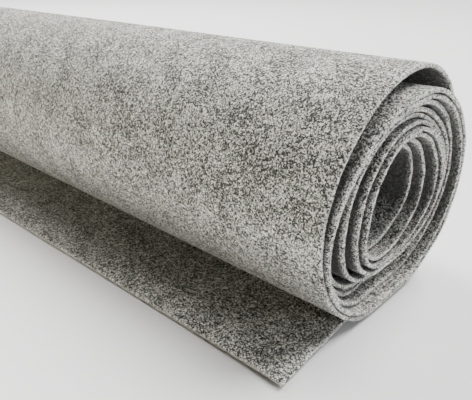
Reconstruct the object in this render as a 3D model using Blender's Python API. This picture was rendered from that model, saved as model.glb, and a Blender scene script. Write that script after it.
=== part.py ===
"""A roll of thick grey felt: one long sheet, wound into a loose spiral, its outer end lying flat.

Metres, +Z up. +X runs along the roll to its near end, -Y points to the loose outer end.
The origin is at the bottom centre of the box round the roll and its loose end.

The sheet is followed from its loose end inwards. "wind" counts turns along it: it is 0 under the
roll where the first turn starts, and each turn then climbs the back (.25), crosses the top (.5),
comes down the front (.75) and passes under the roll (1.0), inside the turn before it.
"""
from collections import namedtuple

import bmesh
import bpy
import numpy as np

MM = 0.001

# The sheet, as cut.
FELT_THICKNESS = 3.0 * MM
FELT_WIDTH = 1.0
FELT_COLOUR = (0.30, 0.30, 0.28, 1.0)
FELT_ROUGHNESS = 0.95

# The loose outer end, from the winding axis to its cut edge, and its stations along that run.
LOOSE_END_REACH = 127.0 * MM
LOOSE_END_STEPS = 8

# Where the middle of the sheet passes on the outermost turn, measured from the winding axis
# along Y and from the ground along Z.
OUTER_BACK = 81.5 * MM
OUTER_TOP = 172.0 * MM
OUTER_FRONT = -94.0 * MM

# The weight of the roll flattens each turn where it passes underneath. A turn's oval would reach
# this far below its resting level, and it leaves that level over this soft corner.
OUTER_FLATTENING = 6.5 * MM
CORNER_SOFTNESS = 3.0 * MM

# Low down at the back the outer turns also sag outwards, past that oval, by this much at most.
OUTER_SAG = 6.0 * MM

STATIONS_PER_TURN = 36
INNER_END_WIND = 10.7

# One row for each turn, from the outside in, all in millimetres. The clearances are the clear
# gaps to the turn outside it. The slides say how far the sheet has crept along the roll, towards
# the near end, by the time it passes there.
Turn = namedtuple("Turn", [
    "clear_back", "clear_top", "clear_front", "clear_bottom",
    "slide_bottom", "slide_back", "slide_top", "slide_front",
])
TURNS = [
    Turn(0.0, 0.0, 0.0, 0.0, 1, 11, 7, 1),
    Turn(11.0, 10.5, 1.7, 0.8, 12, 24, 15, 4),
    Turn(0.6, 0.7, 0.9, 0.7, 12, 23, 15, 2),
    Turn(1.1, 1.0, 1.2, 0.8, 4, 17, 11, -1),
    Turn(1.8, 2.4, 1.2, 0.9, -4, 16, 7, -4),
    Turn(0.8, 1.4, 6.6, 1.2, -4, 17, 5, 1),
    Turn(0.8, 1.4, 6.2, 1.5, 1, 17, 9, 5),
    Turn(0.9, 1.4, 6.2, 1.2, 6, 18, 11, 7),
    Turn(1.5, 0.8, 0.9, 0.6, 6, 16, 9, 4),
    Turn(4.0, 1.0, 1.0, 2.6, 4, 9, 4, 1),
    Turn(3.0, 1.2, 1.2, 3.0, -4, 2, -1, -4),
]


def clear_scene():
    """Remove every object, so that the script can be run again."""
    for item in list(bpy.data.objects):
        bpy.data.objects.remove(item, do_unlink=True)


def stacked(outer, clearances, inward):
    """Where each turn passes, stepping inwards by one thickness and that turn's clearance."""
    steps = [0.0] + [FELT_THICKNESS + clear * MM for clear in clearances[1:]]
    return outer + inward * np.cumsum(steps)


def soft_larger(first, second, softness):
    """The larger of two values, with a rounded change from one to the other."""
    blend = np.maximum(softness - np.abs(first - second), 0.0) / softness
    return np.maximum(first, second) + blend**2 * softness / 4


def smooth_through(knots, values, places):
    """Follow the values through evenly spaced knots, with the slope of their neighbours."""
    step = knots[1] - knots[0]
    slopes = np.gradient(values, step)
    index = np.clip(((places - knots[0]) / step).astype(int), 0, len(knots) - 2)
    part = (places - knots[index]) / step
    start = values[index] * (1 + 2 * part) + slopes[index] * step * part
    end = values[index + 1] * (3 - 2 * part) - slopes[index + 1] * step * (1 - part)
    return start * (1 - part)**2 + end * part**2


def wound_section(wind):
    """Y and Z of the middle of the sheet at each place along the winding."""
    count = np.arange(len(TURNS))
    back = stacked(OUTER_BACK, [turn.clear_back for turn in TURNS], -1)
    top = stacked(OUTER_TOP, [turn.clear_top for turn in TURNS], -1)
    front = stacked(OUTER_FRONT, [turn.clear_front for turn in TURNS], +1)
    bottom = stacked(FELT_THICKNESS / 2, [turn.clear_bottom for turn in TURNS], +1)
    flattening = np.linspace(OUTER_FLATTENING, 0.0, len(TURNS))

    angle = 2 * np.pi * wind
    to_back = (1 + np.sin(angle)) / 2
    to_bottom = (1 + np.cos(angle)) / 2
    resting = np.interp(wind, count, bottom)
    oval_bottom = resting - np.interp(wind, count, flattening)

    sag = np.interp(wind, count, np.linspace(OUTER_SAG, 0.0, len(TURNS)))
    low_at_the_back = (2 * np.maximum(np.sin(angle), 0.0) * np.maximum(np.cos(angle), 0.0))**2

    along_y = np.interp(wind, count + 0.25, back) * to_back
    along_y += np.interp(wind, count + 0.75, front) * (1 - to_back)
    along_y += sag * low_at_the_back
    along_z = oval_bottom * to_bottom
    along_z += np.interp(wind, count + 0.5, top) * (1 - to_bottom)
    return along_y, soft_larger(along_z, resting, CORNER_SOFTNESS)


def wound_slide(wind):
    """How far the sheet has crept along the roll at each place along the winding."""
    quarters = [
        slide * MM
        for turn in TURNS
        for slide in (turn.slide_bottom, turn.slide_back, turn.slide_top, turn.slide_front)
    ]
    return smooth_through(np.arange(len(quarters)) / 4, np.array(quarters), wind)


def sheet_stations():
    """X shift, Y and Z of the middle of the sheet, from its loose end to its inner end."""
    turns_of_stations = int(INNER_END_WIND * STATIONS_PER_TURN)
    wind = np.linspace(0.0, INNER_END_WIND, turns_of_stations + 1)
    along_y, along_z = wound_section(wind)
    slide = wound_slide(wind)

    part = np.linspace(0.0, 1.0, LOOSE_END_STEPS + 1)[:-1]
    loose_y = -LOOSE_END_REACH + part * (along_y[0] + LOOSE_END_REACH)
    loose_z = np.full_like(part, along_z[0])
    loose_slide = slide[0] * part**2
    return (
        np.concatenate([loose_slide, slide]),
        np.concatenate([loose_y, along_y]),
        np.concatenate([loose_z, along_z]),
    )


def felt_material():
    """Grey mottled felt, matt all over."""
    material = bpy.data.materials.new("grey_felt")
    material.use_nodes = True
    shader = material.node_tree.nodes["Principled BSDF"]
    shader.inputs["Base Color"].default_value = FELT_COLOUR
    shader.inputs["Roughness"].default_value = FELT_ROUGHNESS
    shader.inputs["Metallic"].default_value = 0.0
    return material


def felt_sheet():
    """The whole sheet: one wound strip from its loose end to its inner end, made solid."""
    slide, along_y, along_z = sheet_stations()
    centre_x = (slide.max() + slide.min()) / 2
    centre_y = (along_y.max() + FELT_THICKNESS / 2 + along_y.min()) / 2

    shape = bmesh.new()
    previous = None
    for shift, y, z in zip(slide - centre_x, along_y - centre_y, along_z):
        near = shape.verts.new((FELT_WIDTH / 2 + shift, y, z))
        far = shape.verts.new((-FELT_WIDTH / 2 + shift, y, z))
        if previous:
            shape.faces.new((previous[0], near, far, previous[1]))
        previous = (near, far)

    mesh = bpy.data.meshes.new("felt_sheet")
    shape.to_mesh(mesh)
    shape.free()
    sheet = bpy.data.objects.new("felt_sheet", mesh)
    bpy.context.collection.objects.link(sheet)
    mesh.materials.append(felt_material())
    mesh.shade_smooth()

    solid = sheet.modifiers.new("felt thickness", "SOLIDIFY")
    solid.thickness = FELT_THICKNESS
    solid.offset = 0.0
    solid.use_even_offset = True
    return sheet


clear_scene()
felt_sheet()
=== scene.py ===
"""The finished look of a roll of grey marled felt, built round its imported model.

The file is laid out as an add-on. Its operators make the wound sheet, the fuzz on its cut edges
and faces, and a plain stage with soft light. Lengths are metres, +Z is up, +X runs along the roll
to its near end, and -Y points to the loose outer end.

The sheet is followed from its loose end inwards. "wind" counts turns along it: it is 0 under the
roll where the first turn starts, and each turn then climbs the back (.25), crosses the top (.5),
comes down the front (.75) and passes under the roll (1.0), inside the turn before it.
"""

import math
from collections import namedtuple

import bpy
import numpy as np
from bpy.props import FloatProperty, FloatVectorProperty, IntProperty, PointerProperty
from bpy.types import Operator, Panel, PropertyGroup
from mathutils import Matrix, Vector, noise


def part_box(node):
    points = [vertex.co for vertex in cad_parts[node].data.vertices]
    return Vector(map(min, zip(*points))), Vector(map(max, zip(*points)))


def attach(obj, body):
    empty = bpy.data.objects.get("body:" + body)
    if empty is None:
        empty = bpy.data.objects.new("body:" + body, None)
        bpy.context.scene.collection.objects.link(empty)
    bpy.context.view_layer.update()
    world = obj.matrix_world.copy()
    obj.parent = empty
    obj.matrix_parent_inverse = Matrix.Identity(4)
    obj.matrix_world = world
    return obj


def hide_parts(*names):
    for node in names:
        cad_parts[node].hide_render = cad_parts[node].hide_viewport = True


bl_info = {
    "name": "Roll of felt",
    "version": (1, 0, 0),
    "blender": (4, 5, 0),
    "location": "3D View > Sidebar > Felt roll",
    "description": "Builds a loosely wound roll of marled felt, its fuzz and a plain stage",
    "category": "Add Mesh",
}

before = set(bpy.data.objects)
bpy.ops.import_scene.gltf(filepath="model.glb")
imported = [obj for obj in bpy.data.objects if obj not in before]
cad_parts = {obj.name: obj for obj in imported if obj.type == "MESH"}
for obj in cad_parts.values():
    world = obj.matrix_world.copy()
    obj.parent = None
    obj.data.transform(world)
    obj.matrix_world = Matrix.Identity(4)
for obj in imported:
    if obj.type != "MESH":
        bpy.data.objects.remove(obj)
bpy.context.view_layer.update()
SHEET_LOW, SHEET_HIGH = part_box("felt_sheet")

MM = 0.001

# The winding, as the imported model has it. These are places of the middle of the sheet, measured
# from the winding axis along Y and from the ground along Z.
LOOSE_END_REACH = 127.0 * MM
OUTER_BACK = 81.5 * MM
OUTER_TOP = 172.0 * MM
OUTER_FRONT = -94.0 * MM
OUTER_FLATTENING = 6.5 * MM
OUTER_SAG = 6.0 * MM
CORNER_SOFTNESS = 3.0 * MM
INNER_END_WIND = 10.7
WINDING_AXIS_Y = SHEET_LOW.y + LOOSE_END_REACH

# One row for each turn, from the outside in, all in millimetres. The clearances are the clear
# gaps to the turn outside it. The slides say how far the sheet has crept along the roll, towards
# the near end, by the time it passes there.
Turn = namedtuple("Turn", [
    "clear_back", "clear_top", "clear_front", "clear_bottom",
    "slide_bottom", "slide_back", "slide_top", "slide_front",
])
TURNS = [
    Turn(0.0, 0.0, 0.0, 0.0, 1, 11, 7, 1),
    Turn(11.0, 10.5, 1.7, 0.8, 12, 24, 15, 4),
    Turn(0.6, 0.7, 0.9, 0.7, 12, 23, 15, 2),
    Turn(1.1, 1.0, 1.2, 0.8, 4, 17, 11, -1),
    Turn(1.8, 2.4, 1.2, 0.9, -4, 16, 7, -4),
    Turn(0.8, 1.4, 6.6, 1.2, -4, 17, 5, 1),
    Turn(0.8, 1.4, 6.2, 1.5, 1, 17, 9, 5),
    Turn(0.9, 1.4, 6.2, 1.2, 6, 18, 11, 7),
    Turn(1.5, 0.8, 0.9, 0.6, 6, 16, 9, 4),
    Turn(4.0, 1.0, 1.0, 2.6, 4, 9, 4, 1),
    Turn(3.0, 1.2, 1.2, 3.0, -4, 2, -1, -4),
]

# The skin is a row of rings round the sheet. Across each half of the width a ring has a point at
# the rounding and at these distances in from it, and this many faces round each cut edge. The
# first rings stand at these shares of the rounding from each end.
COLUMN_INSETS = [3 * MM, 8 * MM, 18 * MM, 40 * MM, 85 * MM, 160 * MM, 270 * MM, 385 * MM]
RIM_STEPS = 6
END_RINGS = [0.0, 0.12, 0.4]

# The waves and the straying of a cut edge die away over this distance into the sheet.
EDGE_REACH = 28 * MM

# The roll keeps its resting level up to this height, and is free to be uneven this far above it.
RESTING_HEIGHT = 4 * MM
FREE_HEIGHT = 30 * MM

# The loose end's cut edge bows by this much, and its corner at the near end lifts over this far.
LOOSE_END_BOW = 2.4 * MM
LOOSE_CORNER_REACH = 60 * MM

# The marl's tufts of fibre: their size, how far they stray, and the angles they lie at in degrees.
TUFT_LENGTH = 0.9 * MM
TUFT_WIDTH = 0.4 * MM
TUFT_STRAY = 1.5 * MM
TUFT_ANGLES = [12.0, 57.0, 101.0, 148.0]

# How deep a fibre's root is in the felt, and the height below which a fibre is turned upwards.
ROOT_DEPTH = 0.2 * MM
LOWEST_TIP = 0.3 * MM

# How wide the soft light looks from the roll.
SOFT_ANGLE = math.radians(35)

# The camera stands low in front of the near end and looks along the roll. Its angles are in
# degrees, and its place is past the near end, in front of the winding axis and above the ground.
CAMERA_AZIMUTH = 40.43
CAMERA_ELEVATION = 26.97
CAMERA_PAST_NEAR_END = 0.0868
CAMERA_BEFORE_AXIS = 0.2972
CAMERA_HEIGHT = 0.2301

# How far the UV map of a cut end runs to each side of that end.
END_UV_DEPTH = 2 * MM

# The meshes' own values that the materials read: the UV map, how near each place lies to a cut
# edge, how much shade is painted in, and each fibre's tone.
UV_NAME = "felt_uv"
EDGE_NAME = "cut_edge"
PAINTED_SHADE_NAME = "painted_shade"
TONE_NAME = "fibre_tone"


class FeltSheetSizes(PropertyGroup):
    """The sheet as it was cut, and how unevenly it lies."""

    thickness: FloatProperty(
        name="Thickness", description="Thickness of the felt", default=3.0 * MM, unit="LENGTH")
    width: FloatProperty(
        name="Width", description="Width of the felt, along the roll", default=1.0, unit="LENGTH")
    edge_rounding: FloatProperty(
        name="Edge rounding", description="How far the cut edges are rounded",
        default=1.1 * MM, unit="LENGTH")
    mesh_step: FloatProperty(
        name="Mesh step", description="Length of one face along the sheet",
        default=2.3 * MM, unit="LENGTH")
    unevenness: FloatProperty(
        name="Unevenness", description="Height of the soft lumps all along the roll",
        default=0.9 * MM, unit="LENGTH")
    edge_wave: FloatProperty(
        name="Edge wave", description="How far the cut edges wave in and out of the roll",
        default=0.8 * MM, unit="LENGTH")
    edge_wander: FloatProperty(
        name="Edge wander", description="How far the cut edges stray from a straight cut",
        default=0.8 * MM, unit="LENGTH")
    raggedness: FloatProperty(
        name="Raggedness", description="Height of the tufts on a cut edge",
        default=0.28 * MM, unit="LENGTH")
    loose_end_lift: FloatProperty(
        name="Loose end lift", description="Height of the soft humps in the loose end",
        default=2.0 * MM, unit="LENGTH")


class FeltFuzzSizes(PropertyGroup):
    """The stray fibres on the edges and faces."""

    edge_fibres: IntProperty(
        name="Edge fibres", description="Number of fibres on each long cut edge",
        default=15000, min=0)
    end_fibres: IntProperty(
        name="End fibres", description="Number of fibres on the cut edge of the loose end",
        default=2500, min=0)
    face_fibres: IntProperty(
        name="Face fibres", description="Number of fibres on the faces that show",
        default=17000, min=0)
    edge_length: FloatProperty(
        name="Edge fibre length", description="Usual length of a fibre on a cut edge",
        default=1.3 * MM, unit="LENGTH")
    face_length: FloatProperty(
        name="Face fibre length", description="Usual length of a fibre on a face",
        default=1.5 * MM, unit="LENGTH")
    radius: FloatProperty(
        name="Fibre radius", description="Radius of a fibre at its root",
        default=0.045 * MM, unit="LENGTH")


class FeltColours(PropertyGroup):
    """The fibres that are blended into the marl."""

    # The dark fibres' colour is also the colour that the painted shade darkens the felt towards.
    dark: FloatVectorProperty(
        name="Dark fibre", description="Colour of the dark fibres",
        subtype="COLOR", default=(0.035, 0.035, 0.033), min=0, max=1)
    middle: FloatVectorProperty(
        name="Middle fibre", description="Colour of most of the fibres",
        subtype="COLOR", default=(0.131, 0.133, 0.119), min=0, max=1)
    # The cut edges are lightened towards the light fibres' colour, partly as a painted highlight.
    light: FloatVectorProperty(
        name="Light fibre", description="Colour of the light fibres",
        subtype="COLOR", default=(0.90, 0.895, 0.835), min=0, max=1)


class FeltStageSettings(PropertyGroup):
    """The floor, the lights and the camera."""

    floor_colour: FloatVectorProperty(
        name="Floor", description="Colour of the floor",
        subtype="COLOR", default=(0.86, 0.86, 0.86), min=0, max=1)
    back_left_power: FloatProperty(
        name="Back left light", description="Power of the softbox high behind the far end",
        default=95.0, unit="POWER")
    back_right_power: FloatProperty(
        name="Back right light", description="Strength of the soft light behind the near end",
        default=7.2, min=0)
    front_power: FloatProperty(
        name="Front light", description="Power of the low warm softbox in front of the far end",
        default=12.0, unit="POWER")
    end_power: FloatProperty(
        name="End light", description="Power of the softbox beyond the near end",
        default=5.0, unit="POWER")
    sky: FloatProperty(
        name="Surroundings", description="Brightness of the surroundings", default=0.03, min=0)
    lens: FloatProperty(
        name="Lens", description="Focal length of the camera, in millimetres",
        default=36.67, min=1)


def stacked(outer, clearances, inward, thickness):
    """Where each turn passes, stepping inwards by one thickness and that turn's clearance."""
    steps = [0.0] + [thickness + clear * MM for clear in clearances[1:]]
    return outer + inward * np.cumsum(steps)


def soft_larger(first, second, softness):
    """The larger of two values, with a rounded change from one to the other."""
    blend = np.maximum(softness - np.abs(first - second), 0.0) / softness
    return np.maximum(first, second) + blend**2 * softness / 4


def smooth_through(knots, values, places):
    """Follow the values through evenly spaced knots, with the slope of their neighbours."""
    step = knots[1] - knots[0]
    slopes = np.gradient(values, step)
    index = np.clip(((places - knots[0]) / step).astype(int), 0, len(knots) - 2)
    part = (places - knots[index]) / step
    start = values[index] * (1 + 2 * part) + slopes[index] * step * part
    end = values[index + 1] * (3 - 2 * part) - slopes[index + 1] * step * (1 - part)
    return start * (1 - part)**2 + end * part**2


def wound_section(wind, thickness):
    """Y and Z of the middle of the sheet at each place along the winding."""
    count = np.arange(len(TURNS))
    back = stacked(OUTER_BACK, [turn.clear_back for turn in TURNS], -1, thickness)
    top = stacked(OUTER_TOP, [turn.clear_top for turn in TURNS], -1, thickness)
    front = stacked(OUTER_FRONT, [turn.clear_front for turn in TURNS], +1, thickness)
    bottom = stacked(thickness / 2, [turn.clear_bottom for turn in TURNS], +1, thickness)
    flattening = np.linspace(OUTER_FLATTENING, 0.0, len(TURNS))

    angle = 2 * np.pi * wind
    to_back = (1 + np.sin(angle)) / 2
    to_bottom = (1 + np.cos(angle)) / 2
    resting = np.interp(wind, count, bottom)
    oval_bottom = resting - np.interp(wind, count, flattening)
    sag = np.interp(wind, count, np.linspace(OUTER_SAG, 0.0, len(TURNS)))
    low_at_the_back = (2 * np.maximum(np.sin(angle), 0.0) * np.maximum(np.cos(angle), 0.0))**2

    along_y = np.interp(wind, count + 0.25, back) * to_back
    along_y += np.interp(wind, count + 0.75, front) * (1 - to_back)
    along_y += sag * low_at_the_back
    along_z = oval_bottom * to_bottom
    along_z += np.interp(wind, count + 0.5, top) * (1 - to_bottom)
    return along_y, soft_larger(along_z, resting, CORNER_SOFTNESS)


def wound_slide(wind):
    """How far the sheet has crept along the roll at each place along the winding."""
    quarters = [
        slide * MM
        for turn in TURNS
        for slide in (turn.slide_bottom, turn.slide_back, turn.slide_top, turn.slide_front)
    ]
    return smooth_through(np.arange(len(quarters)) / 4, np.array(quarters), wind)


# The middle of the sheet at some places along it. "travel" is the length of sheet from the cut
# edge of the loose end, "slide" the creep along the roll, and (out_y, out_z) points out of it.
SheetPath = namedtuple("SheetPath", "wind travel slide y z out_y out_z")


def whole_path(thickness):
    """The sheet's middle in very fine steps, from its loose end to its inner end."""
    wind = np.linspace(0.0, INNER_END_WIND, int(INNER_END_WIND * 400) + 1)
    along_y, along_z = wound_section(wind, thickness)
    slide = wound_slide(wind)
    part = np.linspace(0.0, 1.0, 200)[:-1]
    loose_y = -LOOSE_END_REACH + part * (along_y[0] + LOOSE_END_REACH)

    wind = np.concatenate([(part - 1) * 0.25, wind])
    slide = np.concatenate([slide[0] * part**2, slide])
    along_y = np.concatenate([loose_y, along_y])
    along_z = np.concatenate([np.full_like(part, along_z[0]), along_z])
    step = np.hypot(np.diff(along_y), np.diff(along_z))
    travel = np.concatenate([[0.0], np.cumsum(step)])
    run_y = np.gradient(along_y, travel)
    run_z = np.gradient(along_z, travel)
    size = np.hypot(run_y, run_z)
    slide = slide - (slide.max() + slide.min()) / 2
    middle_x = (SHEET_LOW.x + SHEET_HIGH.x) / 2
    return SheetPath(
        wind, travel, slide + middle_x, along_y + WINDING_AXIS_Y, along_z,
        run_z / size, -run_y / size)


def path_at(path, travel):
    """The path at the given lengths of sheet from its loose end."""
    return SheetPath(*[np.interp(travel, path.travel, values) for values in path])


def path_columns(path):
    """The path with its values stood up as a column, to be combined with places across it."""
    return SheetPath(*[values[:, None] for values in path])


def uneven(first, second, third):
    """Smooth noise from about -1 to 1 at the places given by three arrays."""
    first, second, third = np.broadcast_arrays(first, second, third)
    places = zip(first.ravel(), second.ravel(), third.ravel())
    return np.array([noise.noise(Vector(place)) for place in places]).reshape(first.shape)


def ease(values):
    """Rise smoothly from 0 to 1 as the values do."""
    part = np.clip(values, 0.0, 1.0)
    return part * part * (3 - 2 * part)


def settled(path, across, through, sizes):
    """Places on the sheet as it has settled.

    "across" is the distance from the middle of the width, and "through" runs from -1 on the
    inner face to 1 on the outer face.
    """
    half_width = sizes.width / 2
    from_edge = half_width - np.abs(across)
    side = np.sign(across)
    angle = 2 * np.pi * path.wind
    ring_y = np.sin(angle)
    ring_z = -np.cos(angle)
    by_edge = np.exp(-np.maximum(from_edge, 0.0) / EDGE_REACH)
    free_of_ground = ease((path.z - RESTING_HEIGHT) / FREE_HEIGHT)
    loose = ease(-path.wind / 0.12)

    # Soft lumps all over, waves by the cut edges, and a thickness that varies a little.
    lumps = uneven(across * 5.5, ring_y * 1.3, ring_z * 1.3 + path.wind * 0.03)
    wave = uneven(side * 7.3, ring_y * 2.6, ring_z * 2.6 + path.wind * 0.12)
    outwards = sizes.unevenness * lumps * free_of_ground
    outwards += sizes.edge_wave * wave * by_edge * free_of_ground
    plump = 1 + 0.06 * uneven(across * 35, path.travel * 30, 3.7)
    outwards = outwards + through * sizes.thickness / 2 * plump

    # Tufts on the cut edges, and edges that stray from a straight cut.
    on_rim = ease((sizes.edge_rounding * 1.5 - from_edge) / sizes.edge_rounding)
    tuft = uneven(path.travel * 420, through * 1.7, side * 4.1)
    clump = uneven(path.travel * 130, through * 0.9, side * 9.7)
    outwards += sizes.raggedness * 0.35 * on_rim * tuft
    wander = uneven(path.travel * 16, side * 2.9, 1.3) + 0.4 * uneven(path.travel * 55, side, 6.1)
    sideways = side * by_edge * sizes.edge_wander * wander
    sideways += side * on_rim * sizes.raggedness * (tuft + 0.9 * clump)

    # The loose end lies in low humps, lifts at its near corner, and bows along its cut edge.
    hump = uneven(across * 7 + 2.2, path.y * 9, 0.4) * 0.6 + 0.35
    near_hump = np.exp(-((across - half_width + 6 * MM) / LOOSE_CORNER_REACH)**2)
    lift = sizes.loose_end_lift * loose * (np.maximum(hump, 0.0) * 0.5 + near_hump * 0.8)
    bow = LOOSE_END_BOW * loose * np.cos(across / half_width * 1.25 * np.pi - 0.5)

    x = path.slide + across + sideways
    y = path.y + path.out_y * outwards - bow
    z = np.maximum(path.z + path.out_z * outwards + lift, 0.0)
    return np.stack(np.broadcast_arrays(x, y, z), axis=-1)


def width_loop(sizes):
    """One loop round the sheet's cut: places across it, through it, and the way round so far.

    It crosses the outer face to the near edge, rounds that, comes back over the inner face and
    rounds the far edge.
    """
    half_face = sizes.width / 2 - sizes.edge_rounding
    insets = np.array([0.0] + COLUMN_INSETS)
    right = half_face - insets
    face = np.concatenate([-right, [0.0], right[::-1]])
    turn = np.linspace(math.pi / 2, -math.pi / 2, RIM_STEPS + 1)[1:-1]
    rim_across = half_face + sizes.edge_rounding * np.cos(turn)**0.6
    rim_through = np.sign(np.sin(turn)) * np.abs(np.sin(turn))**0.8
    flat = np.ones_like(face)
    across = np.concatenate([face, rim_across, face[::-1], -rim_across])
    through = np.concatenate([flat, rim_through, -flat, -rim_through])
    half = sizes.thickness / 2
    sides = np.hypot(np.diff(across, append=across[0]), np.diff(through, append=1.0) * half)
    return across, through, np.concatenate([[0.0], np.cumsum(sides)])


def end_profile(from_end, rounding):
    """How much of its thickness the sheet has at a distance from its end, which is rounded."""
    part = np.clip(from_end / rounding, 0.0, 1.0)
    return 0.35 + 0.65 * np.sqrt(1 - (1 - part)**2)


def ring_places(length, sizes):
    """How far along the sheet each ring of the skin stands."""
    rounded = sizes.edge_rounding * np.array(END_RINGS)
    inner = np.linspace(sizes.edge_rounding, length - sizes.edge_rounding,
                        int(length / sizes.mesh_step))
    return np.concatenate([rounded, inner, length - rounded[::-1]])


def skin_faces(travel, around):
    """The faces between the rings, and the UV of their corners in metres of felt."""
    rows = len(travel)
    columns = len(around) - 1
    row, column = np.meshgrid(np.arange(rows - 1), np.arange(columns), indexing="ij")
    beside = (column + 1) % columns
    corners = np.stack([row * columns + column, (row + 1) * columns + column,
                        (row + 1) * columns + beside, row * columns + beside], axis=-1)
    uv_columns = np.stack([column, column, column + 1, column + 1], axis=-1)
    uv_rows = np.stack([row, row + 1, row + 1, row], axis=-1)
    uv = np.stack([around[uv_columns], travel[uv_rows]], axis=-1)
    return corners.reshape(-1, 4).tolist(), uv.reshape(-1, 2)


def sheet_mesh(sizes):
    """The whole wound sheet as one closed skin, with its UV map in metres of felt."""
    path = whole_path(sizes.thickness)
    length = path.travel[-1]
    travel = ring_places(length, sizes)
    stations = path_columns(path_at(path, travel))
    across, through, around = width_loop(sizes)
    from_end = np.minimum(travel, length - travel)[:, None]
    full = end_profile(from_end, sizes.edge_rounding)
    points = settled(stations, across[None, :], through[None, :] * full, sizes)

    faces, uv = skin_faces(travel, around)
    last_ring = (len(travel) - 1) * len(across)
    end_faces = end_cap(len(across))
    for polygon in end_faces:
        faces.append(polygon)
        uv = np.concatenate([uv, end_uv(polygon, across, through, sizes, 0.0)])
    for polygon in end_faces:
        faces.append([last_ring + corner for corner in polygon[::-1]])
        uv = np.concatenate([uv, end_uv(polygon[::-1], across, through, sizes, length)])

    mesh = bpy.data.meshes.new("wound_felt")
    mesh.from_pydata(points.reshape(-1, 3).tolist(), [], faces)
    mesh.uv_layers.new(name=UV_NAME).data.foreach_set("uv", uv.astype(np.float32).ravel())
    depth = np.minimum(sizes.width / 2 - np.abs(across)[None, :], from_end)
    # How near each place lies to a cut edge. The felt is lightened there, partly for its lighter
    # fuzz and partly as a painted highlight.
    edge = 1 - ease(depth / (1.6 * sizes.edge_rounding))
    # Painted shade, from 0 to 1, kept off the cut edges.
    painted_shade = sheet_painted_shade(stations.wind, through, depth) * (1 - edge)
    for name, values in ((EDGE_NAME, edge), (PAINTED_SHADE_NAME, painted_shade)):
        attribute = mesh.attributes.new(name, "FLOAT", "POINT")
        attribute.data.foreach_set("value", values.astype(np.float32).ravel())
    mesh.shade_smooth()
    return mesh


def sheet_painted_shade(wind, through, depth):
    """How deeply shade is painted into each place on the sheet, from 0 to 1, by "depth" from a cut
    edge.
    """
    # Painted shade on the inner faces at the back and top, where little light reaches them.
    angle = 2 * np.pi * wind
    ring_y = np.sin(angle)
    ring_z = -np.cos(angle)
    inside = np.maximum(ring_z, ease(1.2 * ring_y - 0.9 * np.maximum(-ring_z, 0.0)))
    inside = np.maximum(inside, 0.0) * (wind > 0)

    # Painted shade on the outer faces: in front, in the shadow of the outer turn's edge;
    # underneath; and low on the front of the first turn.
    in_front = ease((-0.5 - ring_y) / 0.35) * ease((depth - 0.8 * MM) / (3.2 * MM)) * (wind > 1)
    underneath = ease((-ring_z - 0.3) / 0.6) * (wind > 0.5)
    low_front = ease((-0.25 - ring_y) / 0.6) * ease(-ring_z / 0.5) * (wind < 1.1)
    outside = np.maximum(in_front, 0.5 * np.maximum(underneath, low_front))
    return np.maximum(-through, 0.0) * inside + np.maximum(through, 0.0) * outside


def end_cap(columns):
    """Polygons that close a ring of the skin, as numbers of its points."""
    loop = list(range(columns))
    face_columns = 2 * len(COLUMN_INSETS) + 3
    rim_points = RIM_STEPS - 1
    outer = loop[:face_columns]
    near_rim = loop[face_columns:face_columns + rim_points]
    inner = loop[face_columns + rim_points:2 * face_columns + rim_points][::-1]
    far_rim = loop[2 * face_columns + rim_points:]
    polygons = [
        [outer[k], outer[k + 1], inner[k + 1], inner[k]]
        for k in range(face_columns - 1)
    ]
    polygons.append([outer[-1]] + near_rim + [inner[-1]])
    polygons.append([inner[0]] + far_rim + [outer[0]])
    return polygons


def end_uv(polygon, across, through, sizes, travel):
    """UV of the corners of a polygon that closes an end."""
    corners = np.array(polygon)
    return np.stack([across[corners] + sizes.width, travel + through[corners] * END_UV_DEPTH],
                    axis=-1)


class Signal:
    """A node's output that can stand in a sum: each operator adds its Math node."""

    def __init__(self, finish, socket):
        self.finish = finish
        self.socket = socket

    def maths(self, operation, first, second):
        return self.finish.node("ShaderNodeMath", {"operation": operation}, {0: first, 1: second})

    def __add__(self, other):
        return self.maths("ADD", self, other)

    def __radd__(self, other):
        return self.maths("ADD", other, self)

    def __sub__(self, other):
        return self.maths("SUBTRACT", self, other)

    def __rsub__(self, other):
        return self.maths("SUBTRACT", other, self)

    def __mul__(self, other):
        return self.maths("MULTIPLY", self, other)

    def __rmul__(self, other):
        return self.maths("MULTIPLY", other, self)

    def clipped(self):
        return self.finish.node("ShaderNodeClamp", {}, {"Value": self})


class Finish:
    """A material under construction."""

    def __init__(self, name):
        self.material = bpy.data.materials.new(name)
        self.material.use_nodes = True
        self.tree = self.material.node_tree
        self.shader = self.tree.nodes["Principled BSDF"]

    def node(self, kind, settings, sockets, output=0):
        """Add a node, set it up, feed its sockets and give one output."""
        node = self.tree.nodes.new(kind)
        for name, value in settings.items():
            setattr(node, name, value)
        self.feed(node, sockets)
        return Signal(self, node.outputs[output])

    def feed(self, node, sockets):
        """Link signals to a node's sockets, and set plain values on them."""
        for name, value in sockets.items():
            if isinstance(value, Signal):
                self.tree.links.new(value.socket, node.inputs[name])
            else:
                node.inputs[name].default_value = value

    def mixed(self, factor, first, second):
        """A colour between two others."""
        sockets = {0: factor, 6: first, 7: second}
        return self.node("ShaderNodeMix", {"data_type": "RGBA"}, sockets, output=2)


def opaque(colour):
    """A colour property as the four numbers that a colour socket takes."""
    return (colour[0], colour[1], colour[2], 1.0)


def felt_noise(finish, uv, per_metre, detail, roughness, output=0):
    """Even noise on the felt, with so many lumps to the metre. Output 1 is its colour."""
    sockets = {"Vector": uv, "Scale": per_metre, "Detail": detail, "Roughness": roughness}
    return finish.node("ShaderNodeTexNoise", {"noise_dimensions": "2D"}, sockets, output)


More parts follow.
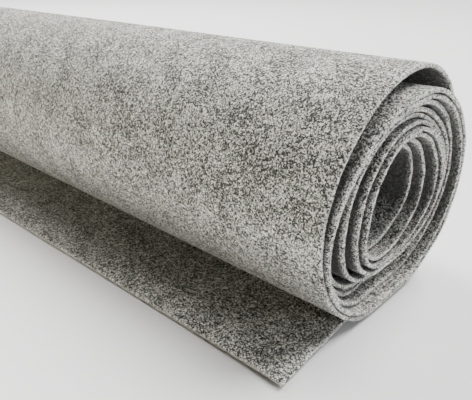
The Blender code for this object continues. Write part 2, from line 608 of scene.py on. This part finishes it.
def felt_cells(finish, places, scale):
    """Small cells on the felt, each with its own random colour."""
    sockets = {"Vector": places, "Scale": scale, "Randomness": 1.0}
    return finish.node("ShaderNodeTexVoronoi", {"voronoi_dimensions": "2D"}, sockets, output=1)


def fibre_tufts(finish, places, turned):
    """Tufts of fibre that lie at one angle, each with its own random tone from 0 to 1."""
    laid = finish.node("ShaderNodeMapping", {}, {
        "Vector": places,
        "Rotation": (0.0, 0.0, math.radians(turned)),
        "Scale": (1 / TUFT_LENGTH, 1 / TUFT_WIDTH, 1.0),
    })
    return finish.node("ShaderNodeSeparateColor", {}, {"Color": felt_cells(finish, laid, 1.0)})


def felt_material(colours):
    """Marled felt: dark and light fibres matted together, brighter where it is cut, partly from the
    lighter fuzz of the cut and partly as a painted highlight, and darkened towards the dark fibres
    by painted shade.
    """
    finish = Finish("marled_felt")
    uv = finish.node("ShaderNodeUVMap", {"uv_map": UV_NAME}, {})
    # Nearness to a cut edge, where the felt is lightened, partly as a painted highlight.
    edge = finish.node("ShaderNodeAttribute", {"attribute_name": EDGE_NAME}, {}, output=2)
    # How much shade is painted into the felt at each point.
    painted_shade = finish.node("ShaderNodeAttribute", {"attribute_name": PAINTED_SHADE_NAME}, {}, output=2)

    # The fibres don't lie straight, so the places that the tufts and grain are drawn at stray.
    stray = felt_noise(finish, uv, per_metre=420.0, detail=1.0, roughness=0.5, output=1)
    bent = finish.node("ShaderNodeVectorMath", {"operation": "MULTIPLY_ADD"}, {
        0: stray, 1: (TUFT_STRAY, TUFT_STRAY, 0.0), 2: uv})
    tufts = [fibre_tufts(finish, bent, turned) for turned in TUFT_ANGLES]
    matted = (tufts[0] + tufts[1]) + (tufts[2] + tufts[3])
    flecks = felt_noise(finish, uv, per_metre=1000.0, detail=2.0, roughness=0.8)
    cells = felt_cells(finish, bent, 1350.0)
    grain = finish.node("ShaderNodeRGBToBW", {}, {"Color": cells})
    clumps = felt_noise(finish, uv, per_metre=330.0, detail=2.0, roughness=0.6)
    mottling = felt_noise(finish, uv, per_metre=45.0, detail=2.0, roughness=0.55)

    # Above 0 the tone leads to the light fibres, and below it to the dark ones.
    tone = (matted - 2.0) * 0.9 + (flecks - 0.5) * 3.0 + (grain - 0.5) * 3.4
    tone = tone + (clumps - 0.5) * 2.0 + (mottling - 0.5) * 1.3
    # The cut edges are lightened: partly the lighter fuzz of the cut, partly a painted highlight
    # where they catch the light.
    lighter = (tone * 0.8 + edge * 0.4).clipped()
    darker = (0.0 - tone * 0.9).clipped()
    colour = finish.mixed(lighter, opaque(colours.middle), opaque(colours.light))
    colour = finish.mixed(darker, colour, opaque(colours.dark))
    # Painted shade: the felt is darkened towards the dark fibres where shade falls.
    colour = finish.mixed(painted_shade * 0.9, colour, opaque(colours.dark))

    height = flecks * 0.6 + matted * 0.12 + clumps * 0.5
    normal = finish.node("ShaderNodeBump", {}, {
        "Strength": 0.55, "Distance": 0.6 * MM, "Height": height,
    })
    finish.feed(finish.shader, {
        "Base Color": colour, "Normal": normal, "Roughness": 0.95,
        "Sheen Weight": 0.06, "Sheen Roughness": 0.6, "Specular IOR Level": 0.15,
    })
    return finish.material


def fibre_material(colours):
    """Single fibres, from the middle grey to the lightest."""
    finish = Finish("felt_fibre")
    tone = finish.node("ShaderNodeAttribute", {"attribute_name": TONE_NAME}, {}, output=2)
    colour = finish.mixed(tone, opaque(colours.middle), opaque(colours.light))
    finish.feed(finish.shader, {
        "Base Color": colour, "Roughness": 0.9, "Specular IOR Level": 0.2,
    })
    return finish.material


def fibre_mesh(name, roots, directions, lengths, radius, draw):
    """Tapering bent fibres, each a closed three-sided spike with its root in the felt.

    A fibre has three points round its root, three a little past its middle, and one at its tip.
    """
    count = len(roots)
    aside = np.cross(directions, draw.normal(size=(count, 3)))
    aside /= np.linalg.norm(aside, axis=1)[:, None]
    across = np.cross(directions, aside)
    bend = aside * draw.uniform(-0.45, 0.45, (count, 1))
    spread = 2 * np.pi * np.arange(3) / 3
    ring = aside[:, None] * np.cos(spread)[:, None] + across[:, None] * np.sin(spread)[:, None]
    lengths = lengths[:, None]
    middles = roots + (directions + bend * 0.3) * lengths * 0.55
    tips = roots + (directions * 0.9 + bend) * lengths
    points = np.concatenate([
        roots[:, None] + ring * radius,
        middles[:, None] + ring * radius * 0.8,
        tips[:, None],
    ], axis=1)
    points[..., 2] = np.maximum(points[..., 2], 0.0)
    spike = [
        (0, 2, 1), (0, 1, 4, 3), (1, 2, 5, 4), (2, 0, 3, 5), (3, 4, 6), (4, 5, 6), (5, 3, 6),
    ]
    size = points.shape[1]
    faces = [[first + corner for corner in face] for first in range(0, count * size, size)
             for face in spike]
    mesh = bpy.data.meshes.new(name)
    mesh.from_pydata(points.reshape(-1, 3).tolist(), [], faces)
    tone = np.repeat(draw.uniform(0.0, 1.0, count)**0.8, size)
    attribute = mesh.attributes.new(TONE_NAME, "FLOAT", "POINT")
    attribute.data.foreach_set("value", tone.astype(np.float32))
    mesh.shade_smooth()
    return mesh


def fuzz_at(name, path, across, through, facing, length, sizes, fuzz, draw):
    """Fibres standing out of the sheet.

    "facing" says which way they stand: along X, out of the roll, and along the sheet.
    """
    roots = settled(path, across, through, sizes)
    count = len(roots)
    along_x, outwards, along_sheet = [np.broadcast_to(part, count) for part in facing]
    directions = np.stack([
        along_x,
        outwards * path.out_y - along_sheet * path.out_z,
        outwards * path.out_z + along_sheet * path.out_y,
    ], axis=1)
    directions = directions / np.linalg.norm(directions, axis=1)[:, None]
    directions += draw.normal(size=(count, 3)) * 0.45
    directions /= np.linalg.norm(directions, axis=1)[:, None]
    lengths = length * draw.uniform(0.35, 1.25, count)
    roots = roots - directions * ROOT_DEPTH
    low = roots[:, 2] + directions[:, 2] * lengths < LOWEST_TIP
    directions[low, 2] = np.abs(directions[low, 2])
    return fibre_mesh(name, roots, directions, lengths, fuzz.radius, draw)


def new_piece(mesh, material):
    """Put a mesh in the scene as a piece of the roll."""
    piece = bpy.data.objects.new(mesh.name, mesh)
    bpy.context.collection.objects.link(piece)
    mesh.materials.append(material)
    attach(piece, "root")
    return piece


def shared_fibre_material(colours):
    """The one material of all the fuzz."""
    return bpy.data.materials.get("felt_fibre") or fibre_material(colours)


class FELTROLL_OT_sheet(Operator):
    """Make the whole felt sheet, wound into its loose roll"""

    bl_idname = "felt_roll.sheet"
    bl_label = "Wound sheet"

    def execute(self, context):
        sizes = context.scene.felt_sheet_sizes
        sheet = new_piece(sheet_mesh(sizes), felt_material(context.scene.felt_colours))
        length = whole_path(sizes.thickness).travel[-1]
        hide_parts("felt_sheet")
        return {"FINISHED"}


class FELTROLL_OT_edge_fuzz(Operator):
    """Make the short fibres that stand out of the cut edges"""

    bl_idname = "felt_roll.edge_fuzz"
    bl_label = "Edge fuzz"

    def execute(self, context):
        sizes = context.scene.felt_sheet_sizes
        fuzz = context.scene.felt_fuzz_sizes
        material = shared_fibre_material(context.scene.felt_colours)
        path = whole_path(sizes.thickness)
        length = path.travel[-1]
        edge = sizes.width / 2
        for number, (name, side) in enumerate([("near_edge_fuzz", 1), ("far_edge_fuzz", -1)]):
            draw = np.random.default_rng(11 + number)
            travel = draw.uniform(0.0, length, fuzz.edge_fibres)
            through = draw.uniform(-0.95, 0.95, fuzz.edge_fibres)
            across = side * (edge - sizes.edge_rounding * 0.45 * np.abs(through)**3)
            mesh = fuzz_at(name, path_at(path, travel), across, through,
                           (side, 0.7 * through, 0.0), fuzz.edge_length, sizes, fuzz, draw)
            new_piece(mesh, material)
        draw = np.random.default_rng(13)
        across = draw.uniform(-edge, edge, fuzz.end_fibres)
        through = draw.uniform(-0.8, 0.8, fuzz.end_fibres)
        start = path_at(path, np.full(fuzz.end_fibres, sizes.edge_rounding * 0.15))
        mesh = fuzz_at("loose_end_fuzz", start, across, through,
                       (0.0, 0.5 * through, -1.0), fuzz.edge_length, sizes, fuzz, draw)
        new_piece(mesh, material)
        return {"FINISHED"}


class FELTROLL_OT_face_fuzz(Operator):
    """Make the stray fibres that stand up from the faces that show"""

    bl_idname = "felt_roll.face_fuzz"
    bl_label = "Face fuzz"

    def execute(self, context):
        sizes = context.scene.felt_sheet_sizes
        fuzz = context.scene.felt_fuzz_sizes
        path = whole_path(sizes.thickness)
        first_turn = path.travel[np.searchsorted(path.wind, 1.0)]
        start = path.travel[np.searchsorted(path.wind, 0.0)]
        draw = np.random.default_rng(21)
        count = fuzz.face_fibres
        travel = draw.uniform(0.0, first_turn, count)
        loose = travel < start
        across = draw.uniform(-sizes.width / 2, sizes.width / 2, count)
        through = np.where(loose, -1.0, 1.0)
        mesh = fuzz_at("face_fuzz", path_at(path, travel), across, through,
                       (0.0, through, 0.6), fuzz.face_length, sizes, fuzz, draw)
        new_piece(mesh, shared_fibre_material(context.scene.felt_colours))
        return {"FINISHED"}


def aimed(place, target, roll=0.0):
    """A matrix that stands at a place and looks at a target down its own -Z."""
    back = (Vector(place) - Vector(target)).normalized()
    turn = (-back).to_track_quat("-Z", "Y").to_matrix().to_4x4()
    return Matrix.Translation(place) @ turn @ Matrix.Rotation(roll, 4, "Z")


def new_lamp(name, kind, place, target, energy, colour):
    """A light at a place, turned to a target. Gives its data."""
    light = bpy.data.lights.new(name, kind)
    light.energy = energy
    light.color = colour
    lamp = bpy.data.objects.new(name, light)
    bpy.context.collection.objects.link(lamp)
    lamp.matrix_world = aimed(place, target)
    return light


def soft_sun(name, azimuth, elevation, strength, colour):
    """A broad, soft light far off. Azimuth is from +X towards +Y, in degrees."""
    around = math.radians(azimuth)
    up = math.radians(elevation)
    place = Vector((math.cos(around) * math.cos(up), math.sin(around) * math.cos(up), math.sin(up)))
    new_lamp(name, "SUN", place, (0.0, 0.0, 0.0), strength, colour).angle = SOFT_ANGLE


def softbox(name, place, target, size, power, colour):
    """A square softbox at a place, turned to a target."""
    new_lamp(name, "AREA", place, target, power, colour).size = size


class FELTROLL_OT_stage(Operator):
    """Make the floor, the soft lights and the camera"""

    bl_idname = "felt_roll.stage"
    bl_label = "Stage"

    def execute(self, context):
        settings = context.scene.felt_stage
        bpy.ops.object.select_all(action="DESELECT")
        bpy.ops.mesh.primitive_circle_add(
            vertices=96, radius=14.0, fill_type="NGON", location=(0.0, 0.0, -0.1 * MM))
        floor = bpy.context.object
        floor.name = "floor"
        finish = Finish("pale_floor")
        finish.feed(finish.shader, {
            "Base Color": opaque(settings.floor_colour), "Roughness": 0.8,
            "Specular IOR Level": 0.1,
        })
        floor.data.materials.append(finish.material)

        soft_sun("back_right_light", 76, 53, settings.back_right_power, (1.0, 0.99, 0.98))
        near_x = SHEET_HIGH.x
        middle_z = SHEET_HIGH.z / 2
        softbox("back_left_light", (-1.25, 0.65, 2.0), (0.0, 0.0, middle_z), 1.4,
                settings.back_left_power, (1.0, 0.99, 0.97))
        softbox("front_light", (-0.75, -0.85, 0.17), (0.1, -0.05, middle_z), 0.3,
                settings.front_power, (1.0, 0.92, 0.74))
        softbox("end_light", (near_x + 1.0, 0.2, 0.4), (near_x, WINDING_AXIS_Y, middle_z), 0.5,
                settings.end_power, (0.93, 0.95, 1.0))

        world = bpy.data.worlds.new("surroundings")
        world.use_nodes = True
        background = world.node_tree.nodes["Background"]
        background.inputs["Color"].default_value = (1.0, 1.0, 1.0, 1.0)
        background.inputs["Strength"].default_value = settings.sky
        context.scene.world = world

        camera = bpy.data.cameras.new("camera")
        camera.lens = settings.lens
        stand = bpy.data.objects.new("camera", camera)
        bpy.context.collection.objects.link(stand)
        azimuth = math.radians(CAMERA_AZIMUTH)
        elevation = math.radians(CAMERA_ELEVATION)
        look = Vector((-math.sin(azimuth) * math.cos(elevation),
                       math.cos(azimuth) * math.cos(elevation), -math.sin(elevation)))
        place = Vector((near_x + CAMERA_PAST_NEAR_END, WINDING_AXIS_Y - CAMERA_BEFORE_AXIS,
                        CAMERA_HEIGHT))
        stand.matrix_world = aimed(place, place + look)
        context.scene.camera = stand
        return {"FINISHED"}


class FELTROLL_PT_sidebar(Panel):
    """Sizes, colours and the steps that build the roll"""

    bl_label = "Felt roll"
    bl_idname = "FELTROLL_PT_sidebar"
    bl_space_type = "VIEW_3D"
    bl_region_type = "UI"
    bl_category = "Felt roll"

    def draw(self, context):
        for operator, groups in STEPS:
            box = self.layout.box()
            for group in groups:
                settings = getattr(context.scene, group)
                for name in settings.bl_rna.properties.keys():
                    if name not in ("rna_type", "name"):
                        box.prop(settings, name)
            box.operator(operator)


# Each step that the panel lists: its operator, and the groups of settings shown above it.
STEPS = [
    ("felt_roll.stage", ["felt_stage"]),
    ("felt_roll.sheet", ["felt_colours", "felt_sheet_sizes"]),
    ("felt_roll.edge_fuzz", ["felt_fuzz_sizes"]),
    ("felt_roll.face_fuzz", []),
]
GROUPS = {
    "felt_sheet_sizes": FeltSheetSizes,
    "felt_fuzz_sizes": FeltFuzzSizes,
    "felt_colours": FeltColours,
    "felt_stage": FeltStageSettings,
}
CLASSES = [
    *GROUPS.values(),
    FELTROLL_OT_stage,
    FELTROLL_OT_sheet,
    FELTROLL_OT_edge_fuzz,
    FELTROLL_OT_face_fuzz,
    FELTROLL_PT_sidebar,
]


def register():
    for each in CLASSES:
        bpy.utils.register_class(each)
    for name, group in GROUPS.items():
        setattr(bpy.types.Scene, name, PointerProperty(type=group))


def unregister():
    for name in GROUPS:
        delattr(bpy.types.Scene, name)
    for each in reversed(CLASSES):
        bpy.utils.unregister_class(each)


def main():
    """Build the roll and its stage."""
    register()
    bpy.ops.felt_roll.stage()
    bpy.ops.felt_roll.sheet()
    bpy.ops.felt_roll.edge_fuzz()
    bpy.ops.felt_roll.face_fuzz()


if __name__ == "__main__":
    main()
